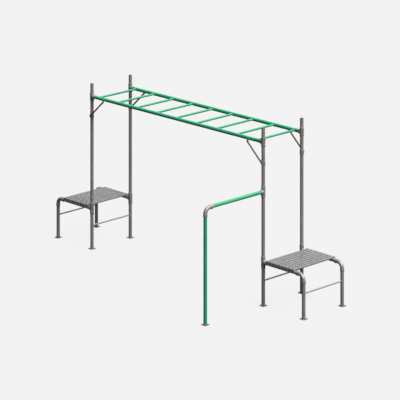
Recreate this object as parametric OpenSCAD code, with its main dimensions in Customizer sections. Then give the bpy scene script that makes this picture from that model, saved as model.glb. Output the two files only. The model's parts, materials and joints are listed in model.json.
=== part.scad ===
// Overhead ladder on tubular posts, with a slatted step outside each end and
// a turning bar that runs out from the front right post to a pole of its own.
//
// Millimetres. The origin is at ground level on the front left post's axis.
// +X runs along the ladder, +Y to the rear and +Z up.
//
// Two groups of parts: the frame, which stands on the ground, and the ladder,
// whose slip-on fittings slide on the four posts and are held by set screws.

/* [Overall] */
// Distance between the post axes along the ladder
bay_length = 3130; // [3060:10:3600]
// Distance between the front and rear post axes
bay_width = 680; // [600:10:900]
// Height of the post tubes' top ends
post_top = 2157; // [2080:1:2400]
// Height of the ladder rails' axes
rail_height = 1992; // [1800:1:2010]

/* [Tubes] */
// Outer diameter of the posts, legs, rails and turning bar
tube_d = 44.5; // [40:0.1:46]
// Wall thickness of those tubes
tube_wall = 3.2; // [2:0.1:4]
// Outer diameter of a rung
rung_d = 26.9; // [22:0.1:34]
// Wall thickness of a rung
rung_wall = 2.6; // [2:0.1:4]
// Distance from rung to rung
rung_pitch = 363; // [300:1:365]
// Outer diameter of the thin spreader tubes
spreader_d = 19; // [16:0.5:27]
// Wall thickness of the spreader tubes
spreader_wall = 2; // [1.5:0.1:3]

/* [Fittings] */
// Outer radius of the slip-on fittings
fitting_r = 26.5; // [25.5:0.1:28.5]
// Radial gap between a tube and the fitting around it
slide_gap = 0.05; // [0.01:0.01:0.1]
// Height of a ladder tee's collar
ladder_tee_h = 112; // [90:1:140]
// Reach of a ladder tee's socket from the post's axis
ladder_tee_reach = 48; // [46:1:80]
// Height of a step tee's collar
step_tee_h = 150; // [90:1:180]
// Reach of a step tee's socket from the post's axis
step_tee_reach = 48; // [46:1:60]
// Height of the turning bar tee's collar
bar_tee_h = 130; // [90:1:160]
// Reach of the turning bar tee's socket from the post's axis
bar_tee_reach = 46; // [46:1:80]
// Centreline radius of the elbows' bend
elbow_bend = 75; // [60:1:75]
// Reach of an elbow's level arm from its corner
elbow_long = 120; // [110:1:138]
// Reach of an elbow's upright arm from its corner
elbow_short = 103; // [100:1:130]

/* [Steps] */
// Distance from a post's axis to the outer leg's axis
step_reach = 675; // [675:5:800]
// Height of the step's top tubes' axes
step_height = 527; // [420:1:600]
// Distance from a post's axis to the nearest edge of the deck
deck_start = 66; // [64:1:70]
// Slats in one deck
slat_count = 9; // [3:1:9]
// Distance from slat to slat
slat_pitch = 54; // [42:1:54]
// Width of a slat
slat_w = 38; // [30:1:40]
// Depth of a slat
slat_h = 16; // [12:1:20]
// Length of a slat past the front and rear tube axes
slat_over = 27; // [22:1:60]
// Height of the spreader tubes' axes
spreader_height = 305; // [150:1:380]

/* [Turning bar] */
// Height of the turning bar's axis
bar_height = 1385; // [1000:1:1400]
// Distance from the post's axis to the pole's axis
bar_reach = 985; // [700:5:1400]

/* [Braces] */
// Diameter of a brace bar
brace_d = 20; // [14:0.5:22]
// Distance of the upper bolt from the post's axis, along the rail
brace_run = 243; // [200:1:340]
// Height of the upper bolt below the rail's axis
brace_hang = 34; // [34:1:50]
// Height of the lower bolt below the rail's axis
brace_drop = 252; // [200:1:280]
// Height of a brace clamp's collar
clamp_h = 60; // [50:1:90]

/* [Feet and caps] */
// Side of a square base plate
plate_size = 75; // [74:1:120]
// Thickness of a base plate
plate_t = 6; // [4:1:12]
// Distance between the anchor holes' centres
anchor_spacing = 54; // [52:1:56]
// Diameter of an anchor hole
anchor_d = 9; // [6:0.5:9]
// Height of a post cap above the tube
cap_h = 5; // [4:0.5:10]

/* [Hidden] */
$fn = 64;

// Every named rung is one of this many, spaced evenly about the middle of the bay
rung_count = 9;

// Tubes and the bores around them
tube_r = tube_d / 2;
tube_bore_r = tube_r - tube_wall;
bore_r = tube_r + slide_gap;
// A socket's flat floor, just outside the bore that the post runs in
socket_floor = bore_r + 3.75;
// A tube stops this far short of a socket's floor
floor_gap = 0.5;
// An elbow's stop for its tubes, past the end of the bend
elbow_stop = 3;
elbow_tube_end = elbow_bend + elbow_stop;
bend_r = fitting_r - 2;
lip = 3;
// Extra length of a cut, so that it breaks clean through a face
cut = 1;

// Set screws: the boss stands proud of the fitting and the screw is just below its face
screw_r = 5;
screw_gap = 0.05;
boss_r = 9.5;
boss_face = fitting_r + 3.5;
screw_face = boss_face - 0.8;
key_across = 5;
key_depth = 4.5;
collar_screw_inset = 20;
elbow_screw_inset = 12;
// A tee's socket screw sits close to the collar, so that its boss grows out of it
boss_overlap = 2;
tee_screw_reach = fitting_r + boss_r - boss_overlap;

// Welded feet
weld_foot = 5;
weld_rise = 5;
plate_corner_r = 6;
cap_chamfer = 2;
cap_r = tube_r - 0.2;
plug_gap = 0.05;
plug_depth = 22;

// Deck: each slat is an open extrusion with two legs and a solid middle web
slat_notch = 2;
slat_skin = 4;
slat_leg = 3;
slat_web = 10;
slat_corner_r = 2.5;
flute_r = 1.2;
flute_pitch = 6;
flute_count = 5;
deck_top = step_height + tube_r - slat_notch + slat_h;
deck_screw_r = 2.5;
deck_screw_gap = 0.05;
deck_head_r = 5;
deck_head_h = 2.6;
deck_key_across = 3;
deck_key_depth = 1.8;
deck_screw_below = 6;

// Braces lie in a plane outside the frame, against lugs on the rail and flats on the clamps
lug_in = tube_r - 1.2;
lug_out = fitting_r + 1.5;
lug_w = 24;
flat_t = 6;
brace_plane = lug_out + flat_t / 2;
flat_reach = 16;
flare = 16;
bolt_r = 5;
bolt_gap = 0.25;
hex_across = 16;
bolt_head_h = 6.4;
nut_h = 8;
thread_past_nut = 4;

GALVANISED = [0.56, 0.55, 0.53];
DARK_STEEL = [0.36, 0.35, 0.34];
GREEN = [0.24, 0.66, 0.47];
SLAT_GREY = [0.70, 0.70, 0.69];
CAP_GREY = [0.25, 0.25, 0.25];

// ---------------------------------------------------------------- places

// Puts its children at one of the posts. There, +x points away from the ladder
// for a step and towards it for a ladder part, and +y points out of the frame.
module at_post(right, rear, outward) {
    flip_x = (right != outward);
    translate([right ? bay_length : 0, rear ? bay_width : 0, 0])
        mirror([flip_x ? 1 : 0, 0, 0])
            mirror([0, rear ? 0 : 1, 0])
                children();
}

module at_step(right, rear) at_post(right, rear, true) children();

module at_ladder(right, rear) at_post(right, rear, false) children();

module at_every_step() for (right = [false, true], rear = [false, true]) at_step(right, rear) children();

module at_every_ladder_end() for (right = [false, true], rear = [false, true]) at_ladder(right, rear) children();

// The turning bar leaves the front right post towards the front. There, +x
// points along the bar to the pole.
module at_bar() translate([bay_length, 0, 0]) rotate([0, 0, -90]) children();

// ---------------------------------------------------------------- shapes

// An upright tube from z = low to z = high
module tube(outer_r, inner_r, low, high) {
    translate([0, 0, low])
        difference() {
            cylinder(r = outer_r, h = high - low);
            translate([0, 0, -cut]) cylinder(r = inner_r, h = high - low + 2 * cut);
        }
}

// A solid upright barrel with chamfered ends, from z = 0
module barrel(r, h, chamfer) {
    rotate_extrude()
        polygon([
            [0, 0], [r - chamfer, 0], [r, chamfer],
            [r, h - chamfer], [r - chamfer, h], [0, h]
        ]);
}

// A tube lying along +x from x = low to x = high
module level_tube(outer_r, inner_r, low, high) rotate([0, 90, 0]) tube(outer_r, inner_r, low, high);

// A square plate with rounded corners, centred
module rounded_square(size, r) {
    square([size - 2 * r, size], center = true);
    square([size, size - 2 * r], center = true);
    for (x = [-1, 1], y = [-1, 1]) translate([x, y] * (size / 2 - r)) circle(r = r);
}

// A hexagonal bar measured across its flats
module hexagon_bar(across, h) cylinder(d = across / cos(30), h = h, $fn = 6);

// ---------------------------------------------------------------- set screws

// A boss for a set screw, pointing along +z from a fitting's axis
module screw_boss() cylinder(r = boss_r, h = boss_face);

module screw_hole() cylinder(r = screw_r + screw_gap, h = boss_face + cut);

module set_screw() {
    difference() {
        translate([0, 0, bore_r]) cylinder(r = screw_r, h = screw_face - bore_r);
        translate([0, 0, screw_face - key_depth]) hexagon_bar(key_across, key_depth + cut);
    }
}

// The three set screw places of a tee: two on the back of its collar and one
// under its socket
module at_tee_screws(height) {
    for (side = [-1, 1])
        translate([0, 0, side * (height / 2 - collar_screw_inset)]) rotate([0, -90, 0]) children();
    translate([tee_screw_reach, 0, 0]) rotate([180, 0, 0]) children();
}

// The two set screw places of an elbow, both on the inside of the bend
module at_elbow_screws() {
    translate([elbow_long - elbow_screw_inset, 0, 0]) rotate([180, 0, 0]) children();
    translate([0, 0, elbow_screw_inset - elbow_short]) rotate([0, 90, 0]) children();
}

module at_clamp_screw() rotate([0, -90, 0]) children();

// ---------------------------------------------------------------- fittings

// The collar and socket that every tee shares, with the socket along +x
module tee_body(height, reach) {
    translate([0, 0, -height / 2]) barrel(fitting_r, height, lip);
    rotate([0, 90, 0]) barrel(fitting_r, reach, lip);
}

module tee_bores(height, reach) {
    translate([0, 0, -height / 2 - cut]) cylinder(r = bore_r, h = height + 2 * cut);
    translate([socket_floor, 0, 0]) rotate([0, 90, 0]) cylinder(r = bore_r, h = reach - socket_floor + cut);
}

module tee(height, reach) {
    color(GALVANISED)
        difference() {
            union() {
                tee_body(height, reach);
                at_tee_screws(height) screw_boss();
            }
            tee_bores(height, reach);
            at_tee_screws(height) screw_hole();
        }
}

// A quarter bend of round section from the end of the upright arm to the end
// of the level arm. Its corner is at the origin, with arms along +x and -z.
module bend(r) {
    translate([elbow_bend, 0, -elbow_bend])
        rotate([90, 0, 0])
            rotate([0, 0, 90])
                rotate_extrude(angle = 90) translate([elbow_bend, 0]) circle(r = r);
}

module elbow_arm(reach) translate([0, 0, elbow_bend - lip]) barrel(fitting_r, reach - elbow_bend + lip, lip);

module elbow_arm_bore(reach) {
    translate([0, 0, elbow_bend]) cylinder(r = tube_bore_r, h = reach - elbow_bend);
    translate([0, 0, elbow_tube_end]) cylinder(r = bore_r, h = reach - elbow_tube_end + cut);
}

module elbow() {
    color(GALVANISED)
        difference() {
            union() {
                bend(bend_r);
                rotate([0, 90, 0]) elbow_arm(elbow_long);
                rotate([180, 0, 0]) elbow_arm(elbow_short);
                at_elbow_screws() screw_boss();
            }
            bend(tube_bore_r);
            rotate([0, 90, 0]) elbow_arm_bore(elbow_long);
            rotate([180, 0, 0]) elbow_arm_bore(elbow_short);
            at_elbow_screws() screw_hole();
        }
}

// ---------------------------------------------------------------- posts and feet

module post() color(GALVANISED) tube(tube_r, tube_bore_r, plate_t, post_top);

module post_cap() {
    translate([0, 0, post_top]) barrel(cap_r, cap_h, cap_chamfer);
    translate([0, 0, post_top - plug_depth]) cylinder(r = tube_bore_r - plug_gap, h = plug_depth + cut);
}

// A base plate with its anchor holes and the weld that joins it to the tube
module base_plate() {
    difference() {
        linear_extrude(plate_t) rounded_square(plate_size, plate_corner_r);
        for (x = [-1, 1], y = [-1, 1])
            translate([x * anchor_spacing / 2, y * anchor_spacing / 2, -cut])
                cylinder(d = anchor_d, h = plate_t + 2 * cut);
    }
    translate([0, 0, plate_t])
        rotate_extrude() polygon([[tube_r, 0], [tube_r + weld_foot, 0], [tube_r, weld_rise]]);
}

module front_left_post() at_ladder(false, false) post();
module rear_left_post() at_ladder(false, true) post();
module front_right_post() at_ladder(true, false) post();
module rear_right_post() at_ladder(true, true) post();

module post_caps() color(CAP_GREY) at_every_ladder_end() post_cap();

module post_base_plates() color(GALVANISED) at_every_ladder_end() base_plate();

// ---------------------------------------------------------------- steps

module leg() color(GALVANISED) tube(tube_r, tube_bore_r, plate_t, step_height - elbow_tube_end);

module at_leg() translate([step_reach, 0, 0]) children();

// The elbow at the top of an outer leg: its level arm points back to the post
module at_step_elbow() translate([step_reach, 0, step_height]) mirror([1, 0, 0]) children();

module at_deck_screws() {
    for (i = [0 : slat_count - 1])
        translate([deck_start + slat_w / 2 + i * slat_pitch, 0, 0]) children();
}

// The top tube, drilled for the deck screws
module step_tube() {
    color(GALVANISED)
        difference() {
            translate([0, 0, step_height])
                level_tube(tube_r, tube_bore_r, socket_floor + floor_gap, step_reach - elbow_tube_end);
            at_deck_screws()
                translate([0, 0, step_height]) cylinder(r = deck_screw_r + deck_screw_gap, h = tube_r + cut);
        }
}

// Cross-section of a slat, centred on x with its top at y = 0
module slat_profile() {
    difference() {
        union() {
            translate([-slat_w / 2, -slat_h]) square([slat_w, slat_h - slat_corner_r]);
            translate([slat_corner_r - slat_w / 2, -slat_h]) square([slat_w - 2 * slat_corner_r, slat_h]);
            for (side = [-1, 1])
                translate([side * (slat_w / 2 - slat_corner_r), -slat_corner_r]) circle(r = slat_corner_r);
        }
        for (side = [-1, 1])
            translate([side * (slat_w / 2 - slat_leg + slat_web / 2) / 2, -slat_skin - slat_h / 2])
                square([slat_w / 2 - slat_leg - slat_web / 2, slat_h], center = true);
        for (i = [0 : flute_count - 1])
            translate([(i - (flute_count - 1) / 2) * flute_pitch, 0]) circle(r = flute_r);
    }
}

// One slat across both top tubes, notched over them and drilled for its screws
module slat(rear_tube) {
    difference() {
        translate([0, slat_over, deck_top])
            rotate([90, 0, 0]) linear_extrude(rear_tube + 2 * slat_over) slat_profile();
        for (y = [0, -rear_tube]) {
            translate([-slat_w, y, step_height]) rotate([0, 90, 0]) cylinder(r = tube_r, h = 2 * slat_w);
            translate([0, y, step_height]) cylinder(r = deck_screw_r + deck_screw_gap, h = slat_h + tube_r + cut);
        }
    }
}

module deck_slats(right) color(SLAT_GREY) at_step(right, false) at_deck_screws() slat(bay_width);

module deck_screw() {
    difference() {
        union() {
            translate([0, 0, deck_top]) barrel(deck_head_r, deck_head_h, cut);
            translate([0, 0, deck_top - slat_h - deck_screw_below])
                cylinder(r = deck_screw_r, h = slat_h + deck_screw_below + cut);
        }
        translate([0, 0, deck_top + deck_head_h - deck_key_depth]) hexagon_bar(deck_key_across, deck_key_depth + cut);
    }
}

// A thin tube between a front and a rear upright, coped to fit them
module spreader() {
    color(GALVANISED)
        difference() {
            translate([0, 0, spreader_height])
                rotate([90, 0, 0])
                    tube(spreader_d / 2, spreader_d / 2 - spreader_wall, 0, bay_width);
            for (y = [0, -bay_width])
                translate([0, y, spreader_height - spreader_d]) cylinder(r = tube_r, h = 2 * spreader_d);
        }
}

module front_left_leg() at_step(false, false) at_leg() leg();
module rear_left_leg() at_step(false, true) at_leg() leg();
module front_right_leg() at_step(true, false) at_leg() leg();
module rear_right_leg() at_step(true, true) at_leg() leg();

module leg_base_plates() color(GALVANISED) at_every_step() at_leg() base_plate();

module step_tee() translate([0, 0, step_height]) tee(step_tee_h, step_tee_reach);
module front_left_step_tee() at_step(false, false) step_tee();
module rear_left_step_tee() at_step(false, true) step_tee();
module front_right_step_tee() at_step(true, false) step_tee();
module rear_right_step_tee() at_step(true, true) step_tee();

module front_left_step_elbow() at_step(false, false) at_step_elbow() elbow();
module rear_left_step_elbow() at_step(false, true) at_step_elbow() elbow();
module front_right_step_elbow() at_step(true, false) at_step_elbow() elbow();
module rear_right_step_elbow() at_step(true, true) at_step_elbow() elbow();

module front_left_step_tube() at_step(false, false) step_tube();
module rear_left_step_tube() at_step(false, true) step_tube();
module front_right_step_tube() at_step(true, false) step_tube();
module rear_right_step_tube() at_step(true, true) step_tube();

module left_post_spreader() at_step(false, false) spreader();
module right_post_spreader() at_step(true, false) spreader();
module left_leg_spreader() at_step(false, false) at_leg() spreader();
module right_leg_spreader() at_step(true, false) at_leg() spreader();

module left_deck_slats() deck_slats(false);
module right_deck_slats() deck_slats(true);

module deck_screws() color(DARK_STEEL) at_every_step() at_deck_screws() deck_screw();

// ---------------------------------------------------------------- turning bar

module at_bar_end() translate([bar_reach, 0, 0]) children();

module turning_bar() {
    color(GREEN)
        at_bar()
            translate([0, 0, bar_height])
                level_tube(tube_r, tube_bore_r, socket_floor + floor_gap, bar_reach - elbow_tube_end);
}

module turning_pole() {
    color(GREEN) at_bar() at_bar_end() tube(tube_r, tube_bore_r, plate_t, bar_height - elbow_tube_end);
}

module turning_bar_tee() at_bar() translate([0, 0, bar_height]) tee(bar_tee_h, bar_tee_reach);

module turning_bar_elbow() at_bar() at_bar_end() translate([0, 0, bar_height]) mirror([1, 0, 0]) elbow();

module pole_base_plate() color(GALVANISED) at_bar() at_bar_end() base_plate();

// ---------------------------------------------------------------- frame set screws

module frame_set_screws() {
    color(DARK_STEEL) {
        at_every_step() {
            translate([0, 0, step_height]) at_tee_screws(step_tee_h) set_screw();
            at_step_elbow() at_elbow_screws() set_screw();
        }
        at_bar() {
            translate([0, 0, bar_height]) at_tee_screws(bar_tee_h) set_screw();
            at_bar_end() translate([0, 0, bar_height]) mirror([1, 0, 0]) at_elbow_screws() set_screw();
        }
    }
}

// ---------------------------------------------------------------- ladder

module rail() {
    color(GREEN)
        translate([0, 0, rail_height])
            level_tube(tube_r, tube_bore_r, socket_floor + floor_gap, bay_length - socket_floor - floor_gap);
}

module front_rail() rail();
module rear_rail() translate([0, bay_width, 0]) rail();

// Rung number i, counted from the left, coped to fit against both rails
module rung(i) {
    color(GREEN)
        translate([bay_length / 2 + (i - (rung_count + 1) / 2) * rung_pitch, 0, rail_height])
            difference() {
                rotate([-90, 0, 0]) tube(rung_d / 2, rung_d / 2 - rung_wall, 0, bay_width);
                for (y = [0, bay_width])
                    translate([-rung_d, y, 0]) rotate([0, 90, 0]) cylinder(r = tube_r, h = 2 * rung_d);
            }
}

module rung_1() rung(1);
module rung_2() rung(2);
module rung_3() rung(3);
module rung_4() rung(4);
module rung_5() rung(5);
module rung_6() rung(6);
module rung_7() rung(7);
module rung_8() rung(8);
module rung_9() rung(9);

module ladder_tee() translate([0, 0, rail_height]) tee(ladder_tee_h, ladder_tee_reach);
module front_left_ladder_tee() at_ladder(false, false) ladder_tee();
module rear_left_ladder_tee() at_ladder(false, true) ladder_tee();
module front_right_ladder_tee() at_ladder(true, false) ladder_tee();
module rear_right_ladder_tee() at_ladder(true, true) ladder_tee();

// ---------------------------------------------------------------- braces

// The two bolt places of a brace, seen from a post. There, +z points out of
// the frame and the origin is on the frame's plane.
module at_low_bolt() translate([0, 0, rail_height - brace_drop]) rotate([-90, 0, 0]) children();

module at_high_bolt() translate([brace_run, 0, rail_height - brace_hang]) rotate([-90, 0, 0]) children();

module bolt_hole(gap) cylinder(r = bolt_r + gap, h = lug_out + 2 * flat_t);

// A round bar whose ends are flattened round the bolts. It is drawn along +x
// from the lower bolt and then tilted up to the higher one.
module brace() {
    rise = brace_drop - brace_hang;
    length = sqrt(brace_run * brace_run + rise * rise);
    color(DARK_STEEL)
        difference() {
            translate([0, brace_plane, rail_height - brace_drop])
                rotate([0, -atan2(rise, brace_run), 0]) {
                    translate([flat_reach + flare, 0, 0])
                        rotate([0, 90, 0]) cylinder(d = brace_d, h = length - 2 * (flat_reach + flare));
                    brace_end();
                    translate([length, 0, 0]) mirror([1, 0, 0]) brace_end();
                }
            at_low_bolt() bolt_hole(bolt_gap);
            at_high_bolt() bolt_hole(bolt_gap);
        }
}

// One flattened end, from the bolt at the origin to the round bar along +x
module brace_end() {
    rotate([90, 0, 0]) cylinder(d = lug_w, h = flat_t, center = true);
    translate([0, -flat_t / 2, -lug_w / 2]) cube([flat_reach, flat_t, lug_w]);
    hull() {
        translate([flat_reach - cut, -flat_t / 2, -lug_w / 2]) cube([cut, flat_t, lug_w]);
        translate([flat_reach + flare, 0, 0]) rotate([0, 90, 0]) cylinder(d = brace_d, h = cut, $fn = 32);
    }
}

module front_left_brace() at_ladder(false, false) brace();
module rear_left_brace() at_ladder(false, true) brace();
module front_right_brace() at_ladder(true, false) brace();
module rear_right_brace() at_ladder(true, true) brace();

// A collar on the post, threaded on its outer side for the brace's lower bolt,
// which also presses on the post
module brace_clamp() {
    difference() {
        union() {
            translate([0, 0, rail_height - brace_drop - clamp_h / 2]) barrel(fitting_r, clamp_h, lip);
            at_low_bolt() cylinder(d = lug_w, h = lug_out);
            translate([0, 0, rail_height - brace_drop]) at_clamp_screw() screw_boss();
        }
        translate([0, 0, rail_height - brace_drop - clamp_h]) cylinder(r = bore_r, h = 2 * clamp_h);
        at_low_bolt() bolt_hole(screw_gap);
        translate([0, 0, rail_height - brace_drop]) at_clamp_screw() screw_hole();
    }
}

// A flat lug welded to the outer side of the rail
module brace_lug() {
    difference() {
        union() {
            at_high_bolt() translate([0, 0, lug_in]) cylinder(d = lug_w, h = lug_out - lug_in);
            translate([brace_run - lug_w / 2, lug_in, rail_height - brace_hang])
                cube([lug_w, lug_out - lug_in, brace_hang]);
        }
        translate([brace_run - lug_w, 0, rail_height]) rotate([0, 90, 0]) cylinder(r = tube_r, h = 2 * lug_w);
        at_high_bolt() bolt_hole(bolt_gap);
    }
}

// A hexagon bolt put in from the outside, whose shank ends this far from the frame's plane
module bolt(tip) {
    translate([0, 0, lug_out + flat_t]) hexagon_bar(hex_across, bolt_head_h);
    translate([0, 0, tip]) cylinder(r = bolt_r, h = lug_out + flat_t + cut - tip);
}

// The nut behind a lug, a separate solid
module nut() {
    difference() {
        translate([0, 0, lug_in - nut_h]) hexagon_bar(hex_across, nut_h);
        translate([0, 0, lug_in - nut_h - cut]) cylinder(r = bolt_r + screw_gap, h = nut_h + 2 * cut);
    }
}

module brace_clamps() color(GALVANISED) at_every_ladder_end() brace_clamp();

module brace_lugs() color(GREEN) at_every_ladder_end() brace_lug();

module brace_bolts() {
    color(DARK_STEEL)
        at_every_ladder_end() {
            at_low_bolt() bolt(bore_r);
            at_high_bolt() {
                bolt(lug_in - nut_h - thread_past_nut);
                nut();
            }
        }
}

module ladder_set_screws() {
    color(DARK_STEEL)
        at_every_ladder_end() {
            translate([0, 0, rail_height]) at_tee_screws(ladder_tee_h) set_screw();
            translate([0, 0, rail_height - brace_drop]) at_clamp_screw() set_screw();
        }
}

// ---------------------------------------------------------------- assembly

front_left_post();
rear_left_post();
front_right_post();
rear_right_post();
post_caps();
post_base_plates();
front_left_leg();
rear_left_leg();
front_right_leg();
rear_right_leg();
leg_base_plates();
front_left_step_tee();
rear_left_step_tee();
front_right_step_tee();
rear_right_step_tee();
front_left_step_elbow();
rear_left_step_elbow();
front_right_step_elbow();
rear_right_step_elbow();
front_left_step_tube();
rear_left_step_tube();
front_right_step_tube();
rear_right_step_tube();
left_post_spreader();
right_post_spreader();
left_leg_spreader();
right_leg_spreader();
left_deck_slats();
right_deck_slats();
deck_screws();
turning_bar();
turning_pole();
turning_bar_tee();
turning_bar_elbow();
pole_base_plate();
frame_set_screws();
front_rail();
rear_rail();
rung_1();
rung_2();
rung_3();
rung_4();
rung_5();
rung_6();
rung_7();
rung_8();
rung_9();
front_left_ladder_tee();
rear_left_ladder_tee();
front_right_ladder_tee();
rear_right_ladder_tee();
front_left_brace();
rear_left_brace();
front_right_brace();
rear_right_brace();
brace_clamps();
brace_lugs();
brace_bolts();
ladder_set_screws();
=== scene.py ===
"""Looks for an overhead ladder of galvanised and green powder-coated tube.

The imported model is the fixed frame. Its tubes, slats, deck screws and set screws keep their shape and get
a finish. The cast fittings, braces, lugs, bolts, feet and caps are modelled again here with their rounded
edges, and the welds are added.
"""

import json
import math
from itertools import product

import bpy
import numpy as np
from mathutils import Matrix, Vector


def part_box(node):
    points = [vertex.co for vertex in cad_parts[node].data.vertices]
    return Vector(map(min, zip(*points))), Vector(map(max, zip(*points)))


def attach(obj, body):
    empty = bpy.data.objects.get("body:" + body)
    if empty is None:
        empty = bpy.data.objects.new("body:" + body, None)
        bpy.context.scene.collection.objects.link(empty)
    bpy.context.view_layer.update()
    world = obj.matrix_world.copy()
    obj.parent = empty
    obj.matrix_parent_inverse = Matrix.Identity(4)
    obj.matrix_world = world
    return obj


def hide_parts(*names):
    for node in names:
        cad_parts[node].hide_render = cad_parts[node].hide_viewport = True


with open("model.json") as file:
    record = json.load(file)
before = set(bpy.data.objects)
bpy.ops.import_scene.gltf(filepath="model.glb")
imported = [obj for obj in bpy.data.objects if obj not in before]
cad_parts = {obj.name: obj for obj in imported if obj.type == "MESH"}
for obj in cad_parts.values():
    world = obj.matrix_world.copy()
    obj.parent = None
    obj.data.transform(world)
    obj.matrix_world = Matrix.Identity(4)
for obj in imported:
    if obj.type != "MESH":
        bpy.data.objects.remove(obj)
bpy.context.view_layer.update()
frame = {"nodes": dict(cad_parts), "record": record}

nodes = frame["nodes"]

MM = 0.001


# ---------------------------------------------------------------- sizes, from the frame

def low_corner(node):
    return Vector(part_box(node)[0])


def high_corner(node):
    return Vector(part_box(node)[1])


def middle(node):
    return (low_corner(node) + high_corner(node)) / 2.0


def size(node):
    return high_corner(node) - low_corner(node)


CORNERS = ("front_left", "rear_left", "front_right", "rear_right")
ENDS = ("left", "right")
RUNGS = [name for name in nodes if name.startswith("rung_")]

TUBE_R = size("front_left_post").x / 2.0
RUNG_R = size("rung_1").z / 2.0
SPREADER_R = size("left_post_spreader").z / 2.0
POST_TOP = high_corner("front_left_post").z
RAIL_HEIGHT = middle("front_rail").z
STEP_HEIGHT = middle("front_left_step_tube").z
BAR_HEIGHT = middle("turning_bar").z
CLAMP_HEIGHT = middle("brace_clamps").z
PLATE_T = low_corner("front_left_post").z

# Gaps and walls. TUBE_BORE_R is the inside of a tube, and BORE_R that of a fitting round it.
SLIDE_GAP = 0.05 * MM
TUBE_WALL = 3.2 * MM
BORE_R = TUBE_R + SLIDE_GAP
TUBE_BORE_R = TUBE_R - TUBE_WALL
# How far a cutting shape stands out of the solid it cuts
CUT = 2.0 * MM

# Cast fittings: the boss is the raised pad round a set screw. SOCKET_FLOOR is where a tee's socket bore
# starts, measured from the post's axis.
FITTING_R = size("front_left_ladder_tee").y / 2.0
BOSS_FACE = middle("front_left_post").x - low_corner("front_left_ladder_tee").x
BOSS_R = 9.5 * MM
BOSS_OVERLAP = 2.0 * MM
BOSS_EDGE = 1.0 * MM
BOSS_FILLET = 2.5 * MM
SCREW_HOLE_R = 5.05 * MM
SOCKET_FLOOR = BORE_R + 3.75 * MM
LIP = 3.0 * MM
COLLAR_SCREW_INSET = 20.0 * MM
ELBOW_SCREW_INSET = 12.0 * MM
TEE_SCREW_REACH = FITTING_R + BOSS_R - BOSS_OVERLAP
TEE_FILLET = 9.0 * MM
SMALL_FILLET = 2.0 * MM

# Elbows, with the corner of their axes as the origin. The tubes end at ELBOW_STOP, and the sleeves round
# them stand out of the bend by SLEEVE_STEP.
ELBOW_LONG = high_corner("front_left_step_elbow").x - middle("front_left_leg").x
ELBOW_SHORT = STEP_HEIGHT - low_corner("front_left_step_elbow").z
ELBOW_STOP = STEP_HEIGHT - high_corner("front_left_leg").z
ELBOW_SHOULDER = 3.0 * MM
ELBOW_BEND = ELBOW_STOP - ELBOW_SHOULDER
SLEEVE_STEP = 2.0 * MM
SLEEVE_LIP = 2.1 * MM
BEND_R = FITTING_R - SLEEVE_STEP

# Skins of the castings: the size of their mesh's cells, and how often the points are evened out
SKIN_CELL = 1.8 * MM
SKIN_ROUNDS = 6

# Braces and lugs. FLAT is how far the faces they meet on lie outside the posts' axes.
FLAT = middle("front_left_post").y - low_corner("brace_lugs").y
BRACE_END_R = 12.0 * MM
BRACE_T = 6.0 * MM
BRACE_R = size("front_left_brace").y / 2.0
BRACE_RUN = high_corner("front_left_brace").x - BRACE_END_R - middle("front_left_post").x
BRACE_LOW = low_corner("front_left_brace").z + BRACE_END_R
BRACE_HIGH = high_corner("front_left_brace").z - BRACE_END_R
FLARE_START = 8.0 * MM
FLARE_END = 40.0 * MM
FLAT_CORNER_R = 1.5 * MM
# Sections round a brace's tip, from this turn off the very tip in radians, and sections along its flare
TIP_TURN = 0.06
TIP_STATIONS = 9
FLARE_STATIONS = 15
# A lug reaches this far back, to the rail's side
LUG_BACK = TUBE_R - 1.2 * MM
LUG_CORNER_R = 4.0 * MM
PAD_EDGE = 0.8 * MM

# Bolts and nuts. A chamfered hexagon's flat face has the radius HEX_FACE_R.
BOLT_R = 5.0 * MM
BOLT_GAP = 0.25 * MM
BOLT_ACROSS = 16.0 * MM
BOLT_PAST_NUT = 4.0 * MM
THREAD_PITCH = 1.5 * MM
THREAD_ROOT_R = BOLT_R - 0.6 * THREAD_PITCH
THREAD_CREST = 0.2 * THREAD_PITCH
THREAD_RUN_OUT = 0.3 * THREAD_PITCH
THREADED = 26.0 * MM
BOLT_TIP_R = 0.8 * THREAD_ROOT_R
HEAD_H = 6.4 * MM
WASHER_FACE = 0.5 * MM
WASHER_EDGE = 0.1 * MM
HEX_CHAMFER = math.tan(math.radians(30.0))
HEX_FACE_R = 0.95 * BOLT_ACROSS / 2.0
HEX_POINTS = 48
NUT_H = 8.0 * MM

# Base plates
PLATE_CORNER_R = 6.0 * MM
PLATE_TOP_EDGE = 1.0 * MM
PLATE_LOW_EDGE = 0.5 * MM

# Post caps: a plug with a narrower lead, and a rim that is this share of the cap's height under its dome
CAP_R = TUBE_R - 0.2 * MM
CAP_RIM = 0.3
CAP_SQUARENESS = 0.6
CAP_CENTRE = 0.15
PLUG_R = TUBE_BORE_R - SLIDE_GAP
PLUG_LEAD = 1.0 * MM

# Welds swell once in each step, and their paths have this many points in a step
WELD_STEP = 2.6 * MM
WELD_POINTS = 6
WELD_SIDES = 10
WIDE_BEAD_R = 4.0 * MM
THIN_BEAD_R = 2.6 * MM
LUG_WELD_INSET = 1.5 * MM
# A bead's least radius, its swell at each step and a slow drift, as shares of its full radius
BEAD_LEAST = 0.80
BEAD_SWELL = 0.20
BEAD_DRIFT = 0.04
# How far a bead's centre stands out of the corner it fills, in its own radii
FOOT_BEAD_OUT = 0.25
SADDLE_BEAD_OUT = 0.2
LUG_BEAD_OUT = 0.4


# ---------------------------------------------------------------- places

MIRROR_X = Matrix.Diagonal((-1.0, 1.0, 1.0, 1.0))


def turned(degrees, axis):
    return Matrix.Rotation(math.radians(degrees), 4, axis)


def shifted(x=0.0, y=0.0, z=0.0):
    return Matrix.Translation((x, y, z))


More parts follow.
